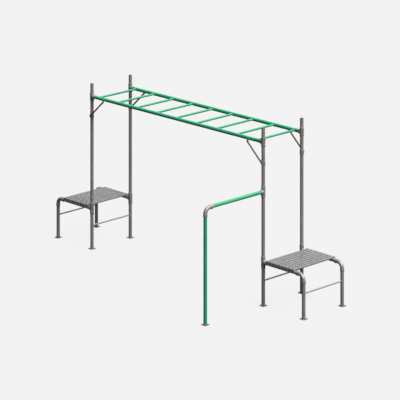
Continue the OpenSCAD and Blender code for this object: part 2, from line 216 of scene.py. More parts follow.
def facing(origin, x, y, z):
    """The frame with these axes at this origin."""
    columns = [list(axis) + [0.0] for axis in (x, y, z)] + [list(origin) + [1.0]]
    return Matrix(columns).transposed()


def at_post(corner, height, to_ladder):
    """A part's place on a post: x along the ladder, towards it or away, y out of the frame and z up."""
    post = middle(corner + "_post")
    along = 1.0 if corner.endswith("left") == to_ladder else -1.0
    out = 1.0 if corner.startswith("rear") else -1.0
    return facing((post.x, post.y, height), (along, 0, 0), (0, out, 0), (0, 0, 1))


def at_lug(corner):
    """The place on a rail's axis over the brace's upper bolt, with the post's directions."""
    return at_post(corner, RAIL_HEIGHT, True) @ shifted(x=BRACE_RUN)


def at_bar(x=0.0):
    """A place on the turning bar: x along the bar from the post's axis, and z up."""
    post = middle("front_right_post")
    return facing((post.x, post.y - x, BAR_HEIGHT), (0, -1, 0), (1, 0, 0), (0, 0, 1))


# ---------------------------------------------------------------- shapes

# Faces that meet at more than this angle make a sharp edge
CREASE = math.radians(32.0)
# Points in one rounded corner of a section
CORNER_STEPS = 6


class Shape:
    """Points and faces, in metres."""

    def __init__(self, points, faces):
        self.points = np.asarray(points, dtype=float)
        self.faces = [list(face) for face in faces]

    def moved(self, matrix):
        """A copy in another place. A mirrored copy has its faces turned round, to look outwards again."""
        table = np.array(matrix)
        points = self.points @ table[:3, :3].T + table[:3, 3]
        if np.linalg.det(table[:3, :3]) > 0.0:
            return Shape(points, self.faces)
        return Shape(points, [face[::-1] for face in self.faces])


def joined(shapes):
    faces = []
    start = 0
    for shape in shapes:
        faces += [[corner + start for corner in face] for face in shape.faces]
        start += len(shape.points)
    return Shape(np.concatenate([shape.points for shape in shapes]), faces)


def turns(count):
    return np.arange(count) * (2.0 * math.pi / count)


def ring(radius, height, count=64):
    """Points round the z axis. The radius and height may differ from point to point."""
    turn = turns(count)
    return np.stack([radius * np.cos(turn), radius * np.sin(turn), height + 0.0 * turn], axis=-1)


def loft(rings, closed=False):
    """A skin over rings with equal numbers of points, with flat ends unless it closes on itself."""
    count = len(rings[0])
    total = len(rings)
    faces = []
    for i in range(total if closed else total - 1):
        here = i * count
        there = (i + 1) % total * count
        for j in range(count):
            k = (j + 1) % count
            faces.append([here + j, here + k, there + k, there + j])
    if not closed:
        faces.append(range(count - 1, -1, -1))
        faces.append(range((total - 1) * count, total * count))
    return Shape(np.concatenate(rings), faces)


def lathe(profile, count=64):
    """A solid turned round the z axis from a list of (radius, height)."""
    return loft([ring(radius, height, count) for radius, height in profile])


def rod(radius, low, high):
    return lathe([(radius, low), (radius, high)])


def build(name, shape):
    """A smooth-shaded object with this name, in the scene."""
    mesh = bpy.data.meshes.new(name)
    mesh.from_pydata(shape.points.tolist(), [], shape.faces)
    mesh.polygons.foreach_set("use_smooth", [True] * len(mesh.polygons))
    mesh.set_sharp_from_angle(angle=CREASE)
    made = bpy.data.objects.new(name, mesh)
    bpy.context.scene.collection.objects.link(made)
    return made


def drilled(shape, cutters):
    """The shape with the volume of each cutter taken away."""
    body = build("body", shape)
    tools = [build("cutter", cutter) for cutter in cutters]
    for tool in tools:
        modifier = body.modifiers.new("cut", "BOOLEAN")
        modifier.operation = "DIFFERENCE"
        modifier.solver = "EXACT"
        modifier.object = tool
    depsgraph = bpy.context.evaluated_depsgraph_get()
    mesh = bpy.data.meshes.new_from_object(body.evaluated_get(depsgraph))
    made = Shape([vertex.co for vertex in mesh.vertices], [face.vertices for face in mesh.polygons])
    for item in [body] + tools:
        bpy.data.meshes.remove(item.data)
    bpy.data.meshes.remove(mesh)
    return made


# ---------------------------------------------------------------- skins over distance fields

def bar_field(across, along, radius, low, high, lip):
    """Distance to a round bar with rounded ends, for points this far across and along its axis."""
    side = across - (radius - lip)
    end = np.abs(along - (low + high) / 2.0) - ((high - low) / 2.0 - lip)
    beyond = np.hypot(np.maximum(side, 0.0), np.maximum(end, 0.0))
    return beyond + np.minimum(np.maximum(side, end), 0.0) - lip


def blended(a, b, fillet):
    """Two fields as one, with a round fillet where their surfaces meet."""
    corner = np.hypot(np.maximum(fillet - a, 0.0), np.maximum(fillet - b, 0.0))
    return np.maximum(fillet, np.minimum(a, b)) - corner


def with_bosses(body, points, places):
    """A body's field with a set screw boss at each place. A boss points along its place's z axis."""
    for place in places:
        table = np.array(place)
        x, y, z = ((points - table[:3, 3]) @ table[:3, :3]).T
        boss = bar_field(np.hypot(x, y), z, BOSS_R, 0.0, BOSS_FACE, BOSS_EDGE)
        body = blended(body, boss, BOSS_FILLET)
    return body


def net(field, low, high):
    """Points and quads near a field's zero surface, with one point in each grid cell that it crosses."""
    axes = [np.arange(start, end + SKIN_CELL, SKIN_CELL) for start, end in zip(low, high)]
    grid = np.stack(np.meshgrid(*axes, indexing="ij"), axis=-1)
    inside = field(grid.reshape(-1, 3)).reshape(grid.shape[:3]) < 0.0
    spans = (slice(None, -1), slice(1, None))
    full = sum(inside[corner].astype(int) for corner in product(spans, repeat=3))
    crossed = (full > 0) & (full < 8)
    number = np.full(crossed.shape, -1)
    number[crossed] = np.arange(crossed.sum())
    quads = []
    for order in ((0, 1, 2), (1, 2, 0), (2, 0, 1)):
        cells = np.transpose(number, order)
        state = np.transpose(inside, order)[:, 1:-1, 1:-1]
        sides = [cells[:, :-1, :-1], cells[:, 1:, :-1], cells[:, 1:, 1:], cells[:, :-1, 1:]]
        around_edge = np.stack(sides, axis=-1)
        quads.append(around_edge[state[:-1] & ~state[1:]])
        quads.append(around_edge[~state[:-1] & state[1:]][:, ::-1])
    return grid[:-1, :-1, :-1][crossed] + SKIN_CELL / 2.0, np.concatenate(quads)


def settled(points, field, steps):
    """The points moved on to the field's zero surface."""
    reach = 0.02 * MM
    for _ in range(steps):
        slopes = [field(points + step) - field(points - step) for step in np.eye(3) * reach]
        slope = np.stack(slopes, axis=-1) / (2.0 * reach)
        steepness = np.maximum((slope ** 2).sum(axis=1), 0.25)
        points = points - slope * (field(points) / steepness)[:, None]
    return points


def skin(field, low, high):
    """A closed, even mesh on a field's zero surface: points drift to their neighbours' middle along it."""
    points, quads = net(field, low, high)
    points = settled(points, field, 3)
    starts = quads.ravel()
    ends = np.roll(quads, -1, axis=1).ravel()
    neighbours = np.bincount(starts, minlength=len(points))
    for _ in range(SKIN_ROUNDS):
        sums = [np.bincount(starts, points[ends, axis], len(points)) for axis in range(3)]
        points = settled(np.stack(sums, axis=-1) / neighbours[:, None], field, 2)
    return Shape(points, quads)


# ---------------------------------------------------------------- cast fittings

def screw_holes(places):
    return [rod(SCREW_HOLE_R, 0.0, BOSS_FACE + CUT).moved(place) for place in places]


def tee_casting(height, reach):
    """A collar round the post along z and a socket along x, with three set screw bosses.

    Its fillet is widest at the top and bottom of the socket, and runs out at its sides.
    """
    back = turned(-90.0, "Y")
    inset = height / 2.0 - COLLAR_SCREW_INSET
    screws = [shifted(z=inset) @ back, shifted(z=-inset) @ back]
    screws.append(shifted(x=TEE_SCREW_REACH) @ turned(180.0, "X"))

    def field(points):
        x, y, z = points.T
        collar = bar_field(np.hypot(x, y), z, FITTING_R, -height / 2.0, height / 2.0, LIP)
        socket = bar_field(np.hypot(y, z), x, FITTING_R, 0.0, reach, LIP)
        fillet = TEE_FILLET * np.clip(1.0 - (y / FITTING_R) ** 2, 0.02, 1.0)
        return with_bosses(blended(collar, socket, fillet), points, screws)

    margin = 2.0 * CUT
    low = (-BOSS_FACE - margin, -FITTING_R - margin, -height / 2.0 - margin)
    high = (reach + margin, FITTING_R + margin, height / 2.0 + margin)
    bores = [
        rod(BORE_R, -height / 2.0 - CUT, height / 2.0 + CUT),
        rod(BORE_R, SOCKET_FLOOR, reach + CUT).moved(turned(90.0, "Y")),
    ]
    return drilled(skin(field, low, high), bores + screw_holes(screws))


def elbow_casting():
    """A quarter bend from a level arm along x to an upright arm along -z, each sleeved with a boss."""
    down = turned(180.0, "X")
    inward = turned(90.0, "Y")
    screws = [
        shifted(x=ELBOW_LONG - ELBOW_SCREW_INSET) @ down,
        shifted(z=ELBOW_SCREW_INSET - ELBOW_SHORT) @ inward,
    ]

    def field(points):
        x, y, z = points.T
        bend = np.hypot(np.hypot(x - ELBOW_BEND, z + ELBOW_BEND) - ELBOW_BEND, y)
        level = np.where(x > ELBOW_BEND, np.hypot(y, z), np.inf)
        upright = np.where(z < -ELBOW_BEND, np.hypot(x, y), np.inf)
        in_arm = (x > ELBOW_BEND) | (z < -ELBOW_BEND)
        across = np.where(in_arm, np.minimum(level, upright), bend)
        ends = np.maximum(x - ELBOW_LONG + LIP, -z - ELBOW_SHORT + LIP)
        body = np.maximum(across - BEND_R, ends)
        arms = ((np.hypot(y, z), x, ELBOW_LONG), (np.hypot(x, y), -z, ELBOW_SHORT))
        for arm_across, along, reach in arms:
            sleeve = bar_field(arm_across, along, FITTING_R, ELBOW_BEND - LIP, reach, SLEEVE_LIP)
            body = blended(body, sleeve, SMALL_FILLET)
        return with_bosses(body, points, screws)

    margin = 2.0 * CUT
    low = (-FITTING_R - margin, -FITTING_R - margin, -ELBOW_SHORT - margin)
    high = (ELBOW_LONG + margin, FITTING_R + margin, FITTING_R + margin)
    bores = [
        rod(BORE_R, ELBOW_STOP, ELBOW_LONG + CUT).moved(turned(90.0, "Y")),
        rod(BORE_R, ELBOW_STOP, ELBOW_SHORT + CUT).moved(down),
        elbow_waterway(),
    ]
    return drilled(skin(field, low, high), bores + screw_holes(screws))


def elbow_waterway():
    """The hollow of the bend, from one tube's end to the other's."""
    centre = shifted(x=ELBOW_BEND, z=-ELBOW_BEND)
    section = ring(TUBE_BORE_R, 0.0)
    overlap = ELBOW_STOP - ELBOW_BEND + CUT
    rings = [section + np.array([0.0, 0.0, -ELBOW_BEND - overlap])]
    for turn in range(0, 91, 5):
        place = np.array(centre @ turned(turn, "Y") @ shifted(x=-ELBOW_BEND))
        rings.append(section @ place[:3, :3].T + place[:3, 3])
    rings.append(rings[-1] + np.array([overlap, 0.0, 0.0]))
    return loft(rings)


def clamp_casting():
    """A collar for the post with a boss on its back and a round pad on its outer side for the brace."""
    height = size("brace_clamps").z
    screws = [turned(-90.0, "Y")]

    def field(points):
        x, y, z = points.T
        collar = bar_field(np.hypot(x, y), z, FITTING_R, -height / 2.0, height / 2.0, LIP)
        pad = bar_field(np.hypot(x, z), y, BRACE_END_R, 0.0, FLAT, PAD_EDGE)
        return with_bosses(blended(collar, pad, SMALL_FILLET), points, screws)

    margin = 2.0 * CUT
    low = (-BOSS_FACE - margin, -FITTING_R - margin, -height / 2.0 - margin)
    high = (FITTING_R + margin, FLAT + margin, height / 2.0 + margin)
    bores = [
        rod(BORE_R, -height / 2.0 - CUT, height / 2.0 + CUT),
        rod(SCREW_HOLE_R, 0.0, FLAT + CUT).moved(turned(-90.0, "X")),
    ]
    return drilled(skin(field, low, high), bores + screw_holes(screws))


# ---------------------------------------------------------------- braces and bolts

def rounded_section(half_w, half_t, corner_r):
    """A ring with rounded corners, half_w to each side along x and half_t along y."""
    corners = []
    for quarter in range(4):
        turn = math.pi / 2.0 * (quarter + np.linspace(0.0, 1.0, CORNER_STEPS))
        diagonal = math.pi / 2.0 * (quarter + 0.5)
        x = (half_w - corner_r) * np.sign(math.cos(diagonal)) + corner_r * np.cos(turn)
        y = (half_t - corner_r) * np.sign(math.sin(diagonal)) + corner_r * np.sin(turn)
        corners.append(np.stack([x, y, 0.0 * x], axis=-1))
    return np.concatenate(corners)


def brace_section(station):
    """A brace's section this far past a bolt: flat and narrowing in the end, round after the flare.

    A negative station is on the other side of the bolt, towards the tip.
    """
    rise = min(max((station - FLARE_START) / (FLARE_END - FLARE_START), 0.0), 1.0)
    swell = rise * rise * (3.0 - 2.0 * rise)
    half_w = BRACE_END_R + (BRACE_R - BRACE_END_R) * swell
    half_t = BRACE_T / 2.0 + (BRACE_R - BRACE_T / 2.0) * swell
    corner_r = FLAT_CORNER_R + (BRACE_R - FLAT_CORNER_R) * swell
    if station < 0.0:
        half_w = math.sqrt(BRACE_END_R ** 2 - station ** 2)
    widest_corner = 0.98 * half_w
    return rounded_section(half_w, half_t, min(corner_r, widest_corner, half_t))


def brace_bar():
    """A round bar along z from bolt to bolt, with both ends pressed flat and drilled."""
    length = math.hypot(BRACE_RUN, BRACE_HIGH - BRACE_LOW)
    tip_turns = np.linspace(TIP_TURN, math.pi / 2.0, TIP_STATIONS)
    stations = [-BRACE_END_R * math.cos(turn) for turn in tip_turns]
    stations += list(np.linspace(FLARE_START, FLARE_END, FLARE_STATIONS))
    low_end = [brace_section(station) + (0.0, 0.0, station) for station in stations]
    high_end = [brace_section(station) + (0.0, 0.0, length - station) for station in stations[::-1]]
    hole = rod(BOLT_R + BOLT_GAP, -BRACE_R, BRACE_R).moved(turned(90.0, "X"))
    return drilled(loft(low_end + high_end), [hole, hole.moved(shifted(z=length))])


def arc(x, y, radius, start, end, steps=9):
    """Points of an arc in the x-y plane, from one angle to another in degrees."""
    turn = np.radians(np.linspace(start, end, steps))
    return np.stack([x + radius * np.cos(turn), y + radius * np.sin(turn), 0.0 * turn], axis=-1)


def lug():
    """A plate with a round lower end, coped to the rail and drilled. z runs out of the frame and y up."""
    hang = RAIL_HEIGHT - BRACE_HIGH
    side = BRACE_END_R - LUG_CORNER_R
    rings = []
    for height, inset in ((LUG_BACK, 0.0), (FLAT - PAD_EDGE, 0.0), (FLAT, PAD_EDGE)):
        corner_r = LUG_CORNER_R - inset
        right = arc(side, -LUG_CORNER_R, corner_r, 0.0, 90.0)
        left = arc(-side, -LUG_CORNER_R, corner_r, 90.0, 180.0)
        low_end = arc(0.0, -hang, BRACE_END_R - inset, 180.0, 360.0, 25)
        rings.append(np.concatenate([right, left, low_end]) + (0.0, 0.0, height))
    rail = rod(TUBE_R, -2.0 * BRACE_END_R, 2.0 * BRACE_END_R).moved(turned(90.0, "Y"))
    hole = rod(BOLT_R + BOLT_GAP, LUG_BACK - CUT, FLAT + CUT).moved(shifted(y=-hang))
    return drilled(loft(rings), [rail, hole])


def hexagon(across):
    """A hexagon's radius at each point of a ring."""
    turn = turns(HEX_POINTS) % (math.pi / 3.0) - math.pi / 6.0
    return across / 2.0 / np.cos(turn)


def bolt(length):
    """A hexagon bolt: its head stands on z = 0 and its threaded shank runs down."""
    profile = [(BOLT_TIP_R, -length), (THREAD_ROOT_R, -length + THREAD_PITCH / 2.0)]
    for turn in range(int(min(length, THREADED) / THREAD_PITCH) - 1):
        crest = -length + (turn + 1) * THREAD_PITCH
        profile += [(BOLT_R, crest - THREAD_CREST / 2.0), (BOLT_R, crest + THREAD_CREST / 2.0)]
        profile.append((THREAD_ROOT_R, crest + THREAD_PITCH / 2.0))
    plain_shank = profile[-1][1] + THREAD_RUN_OUT
    flats = hexagon(BOLT_ACROSS)
    chamfer = (flats - HEX_FACE_R) * HEX_CHAMFER
    profile += [(BOLT_R, plain_shank), (BOLT_R, 0.0), (HEX_FACE_R, 0.0), (HEX_FACE_R, WASHER_FACE)]
    profile += [(flats, WASHER_FACE + WASHER_EDGE), (flats, HEAD_H - chamfer)]
    profile += [(HEX_FACE_R, HEAD_H), (HEX_FACE_R / 2.0, HEAD_H)]
    return lathe(profile, HEX_POINTS)


def nut():
    """A hexagon nut that stands on z = 0, chamfered on both faces."""
    flats = hexagon(BOLT_ACROSS)
    chamfer = (flats - HEX_FACE_R) * HEX_CHAMFER
    profile = [(SCREW_HOLE_R, 0.0), (HEX_FACE_R, 0.0), (flats, chamfer)]
    profile += [(flats, NUT_H - chamfer), (HEX_FACE_R, NUT_H), (SCREW_HOLE_R, NUT_H)]
    return loft([ring(radius, height, HEX_POINTS) for radius, height in profile], closed=True)


def bolts_and_nuts():
    """For each brace, a short bolt into the clamp and a long one through the lug, with its nut."""
    outer_face = FLAT + BRACE_T
    nut_face = LUG_BACK - NUT_H
    outward = turned(-90.0, "X")
    shapes = []
    for corner in CORNERS:
        low = at_post(corner, BRACE_LOW, True)
        high = at_post(corner, BRACE_HIGH, True) @ shifted(x=BRACE_RUN)
        shapes.append(bolt(outer_face - BORE_R).moved(low @ shifted(y=outer_face) @ outward))
        long_bolt = bolt(outer_face - nut_face + BOLT_PAST_NUT)
        shapes.append(long_bolt.moved(high @ shifted(y=outer_face) @ outward))
        shapes.append(nut().moved(high @ shifted(y=nut_face) @ outward))
    return joined(shapes)


# ---------------------------------------------------------------- feet and caps

def base_plate():
    """A square plate with rounded corners and softened edges, drilled for four anchors."""
    anchors = next(m["dims"] for m in frame["record"]["mounts"] if m["kind"] == "bolt_pattern")
    half = size("pole_base_plate").x / 2.0
    rings = []
    low_edge = ((0.0, PLATE_LOW_EDGE), (PLATE_LOW_EDGE, 0.0))
    top_edge = ((PLATE_T - PLATE_TOP_EDGE, 0.0), (PLATE_T, PLATE_TOP_EDGE))
    for height, inset in low_edge + top_edge:
        side = half - inset
        rings.append(rounded_section(side, side, PLATE_CORNER_R - inset) + (0.0, 0.0, height))
    hole = rod(anchors["hole_r_mm"] * MM, -CUT, PLATE_T + CUT)
    x = anchors["spacing_x_mm"] * MM / 2.0
    y = anchors["spacing_y_mm"] * MM / 2.0
    holes = [hole.moved(shifted(i * x, j * y)) for i, j in product((-1, 1), repeat=2)]
    return drilled(loft(rings), holes)


def post_cap():
    """A moulded plug with a rounded rim and a low dome, whose rim stands on z = 0."""
    top = high_corner("post_caps").z - POST_TOP
    plug = low_corner("post_caps").z - POST_TOP
    rim = CAP_RIM * top
    profile = [(PLUG_R - PLUG_LEAD, plug), (PLUG_R, plug + 2.0 * PLUG_LEAD), (PLUG_R, 0.0)]
    profile += [(CAP_R, 0.0), (CAP_R, rim)]
    for turn in np.linspace(0.0, math.pi / 2.0, 11)[1:-1]:
        dome_r = CAP_R * math.cos(turn) ** CAP_SQUARENESS
        profile.append((dome_r, rim + (top - rim) * math.sin(turn)))
    profile.append((CAP_CENTRE * CAP_R, top))
    return lathe(profile)


def uprights(kind):
    """The axes of all posts or all legs, on the ground."""
    return [shifted(middle(corner + kind).x, middle(corner + kind).y) for corner in CORNERS]


def pole_foot():
    return shifted(middle("turning_pole").x, middle("turning_pole").y)


# ---------------------------------------------------------------- welds

def bead(path, outward, radius, closed=True):
    """A weld bead along a path. It swells at each step of the welder's hand, as do the real ones."""
    if closed:
        along = np.roll(path, -1, axis=0) - np.roll(path, 1, axis=0)
    else:
        along = np.gradient(path, axis=0)
    along /= np.linalg.norm(along, axis=1)[:, None]
    side = np.cross(along, outward)
    step = np.arange(len(path)) / WELD_POINTS
    ripple = np.abs(np.sin(math.pi * step)) ** 0.7
    drift = np.sin(0.37 * step)
    swell = radius * (BEAD_LEAST + BEAD_SWELL * ripple + BEAD_DRIFT * drift)
    rings = []
    for point, out, across, thick in zip(path, outward, side, swell):
        turn = turns(WELD_SIDES)[:, None]
        rings.append(point + thick * (np.cos(turn) * out + np.sin(turn) * across))
    return loft(rings, closed)


def weld_turns(length):
    """Angles round a closed weld of this length, a whole number of steps."""
    return turns(WELD_POINTS * round(length / WELD_STEP))


def foot_weld(radius):
    """The weld between a tube of this radius along z and the plate under it, whose top is z = 0."""
    turn = weld_turns(2.0 * math.pi * radius)
    outward = np.stack([np.cos(turn), np.sin(turn), 1.0 + 0.0 * turn], axis=-1) / math.sqrt(2.0)
    path = np.stack([radius * np.cos(turn), radius * np.sin(turn), 0.0 * turn], axis=-1)
    return bead(path + outward * FOOT_BEAD_OUT * WIDE_BEAD_R, outward, WIDE_BEAD_R)


def saddle_weld(branch_r):
    """The weld where a thin tube along z meets the side of a main tube along x."""
    turn = weld_turns(2.0 * math.pi * branch_r)
    x = branch_r * np.cos(turn)
    y = branch_r * np.sin(turn)
    z = np.sqrt(TUBE_R ** 2 - y ** 2)
    from_branch = np.stack([np.cos(turn), np.sin(turn), 0.0 * turn], axis=-1)
    from_main = np.stack([0.0 * turn, y / TUBE_R, z / TUBE_R], axis=-1)
    outward = from_branch + from_main
    outward /= np.linalg.norm(outward, axis=1)[:, None]
    path = np.stack([x, y, z], axis=-1)
    return bead(path + outward * SADDLE_BEAD_OUT * THIN_BEAD_R, outward, THIN_BEAD_R)


def lug_weld():
    """The weld along x over a lug's top edge, seen with y out of the frame and the rail along x."""
    half = BRACE_END_R - LUG_WELD_INSET
    x = np.linspace(-half, half, int(2.0 * half / WELD_STEP * WELD_POINTS))
    outward = np.array([0.0, math.sqrt(0.5), math.sqrt(0.5)]) + 0.0 * x[:, None]
    path = np.stack([x, TUBE_R + 0.0 * x, 0.0 * x], axis=-1)
    return bead(path + outward * LUG_BEAD_OUT * THIN_BEAD_R, outward, THIN_BEAD_R, closed=False)


def rung_welds():
    shapes = []
    weld = saddle_weld(RUNG_R)
    for rung in RUNGS:
        x = middle(rung).x
        front = (x, middle("front_rail").y, RAIL_HEIGHT)
        rear = (x, middle("rear_rail").y, RAIL_HEIGHT)
        shapes.append(weld.moved(facing(front, (1, 0, 0), (0, 0, -1), (0, 1, 0))))
        shapes.append(weld.moved(facing(rear, (1, 0, 0), (0, 0, 1), (0, -1, 0))))
    return joined(shapes)


def spreader_welds():
    shapes = []
    weld = saddle_weld(SPREADER_R)
    for end, kind in product(ENDS, ("_post", "_leg")):
        spreader = middle(end + kind + "_spreader")
        for side, inward in (("front_", 1), ("rear_", -1)):
            place = (spreader.x, middle(side + end + kind).y, spreader.z)
            shapes.append(weld.moved(facing(place, (0, 0, 1), (inward, 0, 0), (0, inward, 0))))
    return joined(shapes)


def lug_welds():
    weld = lug_weld()
    return joined([weld.moved(at_lug(corner)) for corner in CORNERS])


# ---------------------------------------------------------------- node trees

class Shader:
    """The node tree of a new material, or of the world. Each call adds a node and returns its output."""

    def __init__(self, name, world=None):
        self.owner = world or bpy.data.materials.new(name)
        self.owner.use_nodes = True
        self.tree = self.owner.node_tree
        self.tree.nodes.clear()
        self.place = self.add("ShaderNodeTexCoord", "Object")

    def add(self, kind, output, inputs=None, **settings):
        node = self.tree.nodes.new(kind)
        for key, value in settings.items():
            setattr(node, key, value)
        for key, value in (inputs or {}).items():
            self.feed(node.inputs[key], value)
        return node.outputs[output]

    def feed(self, socket, value):
        if isinstance(value, bpy.types.NodeSocket):
            self.tree.links.new(value, socket)
        else:
            socket.default_value = value

    def stretched(self, x, y, z):
        """Object coordinates scaled by axis, so that a pattern runs along one of them."""
        return self.add("ShaderNodeMapping", 0, {"Vector": self.place, "Scale": (x, y, z)})

    def noise(self, scale, detail, roughness, vector=None):
        inputs = {"Vector": vector or self.place, "Scale": scale, "Detail": detail, "Roughness": roughness}
        return self.add("ShaderNodeTexNoise", 0, inputs)

    def crystals(self, scale, vector):
        """A random value for each cell of a crystal pattern."""
        colour = self.add("ShaderNodeTexVoronoi", 1, {"Vector": vector, "Scale": scale})
        return self.add("ShaderNodeSeparateColor", 0, {"Color": colour})

    def height(self):
        """How far up the object a point is."""
        return self.add("ShaderNodeSeparateXYZ", 2, {"Vector": self.place})

    def math(self, operation, a, b):
        return self.add("ShaderNodeMath", 0, {0: a, 1: b}, operation=operation)

    def span(self, value, low, high, out_low=0.0, out_high=1.0):
        """value taken from low..high to out_low..out_high, and held there beyond the ends."""
        inputs = {"Value": value, "From Min": low, "From Max": high, "To Min": out_low, "To Max": out_high}
        return self.add("ShaderNodeMapRange", 0, inputs, clamp=True)

    def mix(self, factor, a, b):
        return self.add("ShaderNodeMix", 2, {0: factor, 6: a, 7: b}, data_type="RGBA")

    def bump(self, height, strength, distance, normal=None):
        inputs = {"Height": height, "Strength": strength, "Distance": distance}
        if normal is not None:
            inputs["Normal"] = normal
        return self.add("ShaderNodeBump", 0, inputs)

    def principled(self, **inputs):
        named = {key.replace("_", " "): value for key, value in inputs.items()}
        return self.output(self.add("ShaderNodeBsdfPrincipled", 0, named))

    def output(self, surface):
        in_world = isinstance(self.owner, bpy.types.World)
        node = self.tree.nodes.new("ShaderNodeOutputWorld" if in_world else "ShaderNodeOutputMaterial")
        self.tree.links.new(surface, node.inputs["Surface"])
        return self.owner


# ---------------------------------------------------------------- materials

GREEN_DEEP = (0.014, 0.350, 0.160, 1.0)
GREEN_LIGHT = (0.020, 0.400, 0.185, 1.0)
GREEN_WORN = (0.10, 0.42, 0.25, 1.0)
SOIL = (0.24, 0.21, 0.17, 1.0)


def grey(value, warmth=0.11):
    return (value, value * (1.0 - warmth / 2.0), value * (1.0 - warmth), 1.0)


def galvanised_tube():
    """Hot-dip zinc on drawn tube: small faint crystals, dull patches, long runs and a rough foot."""
    s = Shader("galvanised_tube")
    spangle = s.crystals(95.0, s.stretched(1.0, 1.0, 0.6))
    dull = s.noise(9.0, 5.0, 0.6)
    runs = s.noise(30.0, 3.0, 0.5, s.stretched(1.0, 1.0, 0.08))
    grain = s.noise(700.0, 2.0, 0.5)
    tone = s.math("ADD", s.span(spangle, 0.0, 1.0, 0.44, 0.56), s.span(dull, 0.3, 0.7, -0.16, 0.16))
    tone = s.math("ADD", tone, s.span(runs, 0.35, 0.65, -0.08, 0.08))
    splash = s.span(s.height(), 0.0, 0.16, 1.0, 0.0)
    splash = s.math("MULTIPLY", splash, s.span(s.noise(60.0, 4.0, 0.6), 0.35, 0.65))
    colour = s.mix(tone, grey(0.33), grey(0.49))
    colour = s.mix(s.math("MULTIPLY", splash, 0.35), colour, SOIL)
    rough = s.math("ADD", s.span(dull, 0.3, 0.7, 0.42, 0.56), s.span(spangle, 0.0, 1.0, -0.02, 0.02))
    relief = s.bump(spangle, 0.06, 0.0003, s.bump(grain, 0.10, 0.0002))
    return s.principled(Base_Color=colour, Metallic=0.5, Roughness=rough, Normal=relief)


def galvanised_casting():
    """Zinc over a sand casting: a coarse grain with its high points rubbed bright."""
    s = Shader("galvanised_casting")
    sand = s.noise(420.0, 3.0, 0.6)
    lumps = s.noise(70.0, 3.0, 0.5)
    dull = s.noise(14.0, 4.0, 0.6)
    colour = s.mix(s.span(dull, 0.3, 0.7), grey(0.30), grey(0.41))
    colour = s.mix(s.span(sand, 0.45, 0.7, 0.0, 0.25), colour, grey(0.46))
    rough = s.span(sand, 0.3, 0.7, 0.46, 0.62)
    relief = s.bump(sand, 0.22, 0.0003, s.bump(lumps, 0.2, 0.0008))
    return s.principled(Base_Color=colour, Metallic=0.5, Roughness=rough, Normal=relief)


def galvanised_plate():
    """Base plates and their welds: dull, dark grey zinc, darker in patches."""
    s = Shader("galvanised_plate")
    # This noise makes the plates darker and rougher in patches
    plate_patches = s.noise(45.0, 6.0, 0.7)
    grain = s.noise(500.0, 3.0, 0.6)
    colour = s.mix(s.span(plate_patches, 0.35, 0.65), grey(0.10, 0.10), grey(0.24))
    relief = s.bump(grain, 0.2, 0.0003)
    rough = s.span(plate_patches, 0.3, 0.7, 0.7, 0.5)
    return s.principled(Base_Color=colour, Metallic=0.35, Roughness=rough, Normal=relief)


def light_tube():
    """Bright zinc on thin drawn tube: pale, with fine marks along it."""
    s = Shader("light_tube")
    lines = s.noise(500.0, 2.0, 0.5, s.stretched(1.0, 0.02, 1.0))
    cloud = s.noise(16.0, 4.0, 0.6)
    colour = s.mix(s.span(cloud, 0.3, 0.7), grey(0.32, 0.04), grey(0.40, 0.04))
    rough = s.span(lines, 0.3, 0.7, 0.36, 0.48)
    relief = s.bump(lines, 0.08, 0.0002)
    return s.principled(Base_Color=colour, Metallic=0.35, Roughness=rough, Normal=relief)


def green_coat():
    """Powder coat: orange-peel skin, a slightly uneven green and fine scuffs where hands wear it."""
    s = Shader("green_coat")
    peel = s.noise(330.0, 2.0, 0.5)
    drift = s.noise(6.0, 3.0, 0.5)
    scuff = s.noise(160.0, 6.0, 0.75, s.stretched(0.5, 1.0, 1.0))
    scuffed = s.math("MULTIPLY", s.span(scuff, 0.56, 0.72), s.span(drift, 0.45, 0.6))
    colour = s.mix(s.span(drift, 0.35, 0.65), GREEN_DEEP, GREEN_LIGHT)
    colour = s.mix(s.math("MULTIPLY", scuffed, 0.35), colour, GREEN_WORN)
    rough = s.math("ADD", s.span(peel, 0.3, 0.7, 0.32, 0.40), s.math("MULTIPLY", scuffed, 0.2))
    relief = s.bump(peel, 0.10, 0.0003)
    coat = {"Coat_Weight": 0.3, "Coat_Roughness": 0.3}
    return s.principled(Base_Color=colour, Roughness=rough, Normal=relief, **coat)


def slat_metal():
    """Extruded aluminium: die lines along the slat, dull oxide, and faint shoe scuffs across the deck."""
    s = Shader("slat_metal")
    lines = s.noise(600.0, 2.0, 0.6, s.stretched(1.0, 0.01, 1.0))
    oxide = s.noise(12.0, 4.0, 0.6)
    scuff = s.noise(45.0, 8.0, 0.8, s.stretched(1.0, 0.35, 1.0))
    colour = s.mix(s.span(oxide, 0.3, 0.7), grey(0.22, 0.0), grey(0.27, 0.0))
    colour = s.mix(s.span(scuff, 0.55, 0.75, 0.0, 0.15), colour, grey(0.17, 0.0))
    rough = s.math("ADD", s.span(lines, 0.3, 0.7, 0.38, 0.48), s.span(scuff, 0.5, 0.7, 0.0, 0.10))
    relief = s.bump(lines, 0.08, 0.0002)
    return s.principled(Base_Color=colour, Metallic=0.4, Roughness=rough, Normal=relief)


def dark_bar():
    """Dull zinc over hot-rolled bar: fine pits and slight mottling."""
    s = Shader("dark_bar")
    pits = s.noise(500.0, 3.0, 0.6)
    mottle = s.noise(25.0, 4.0, 0.6)
    colour = s.mix(s.span(mottle, 0.3, 0.7), grey(0.10), grey(0.14))
    relief = s.bump(pits, 0.08, 0.0002)
    rough = s.span(mottle, 0.3, 0.7, 0.5, 0.6)
    return s.principled(Base_Color=colour, Metallic=0.4, Roughness=rough, Normal=relief)


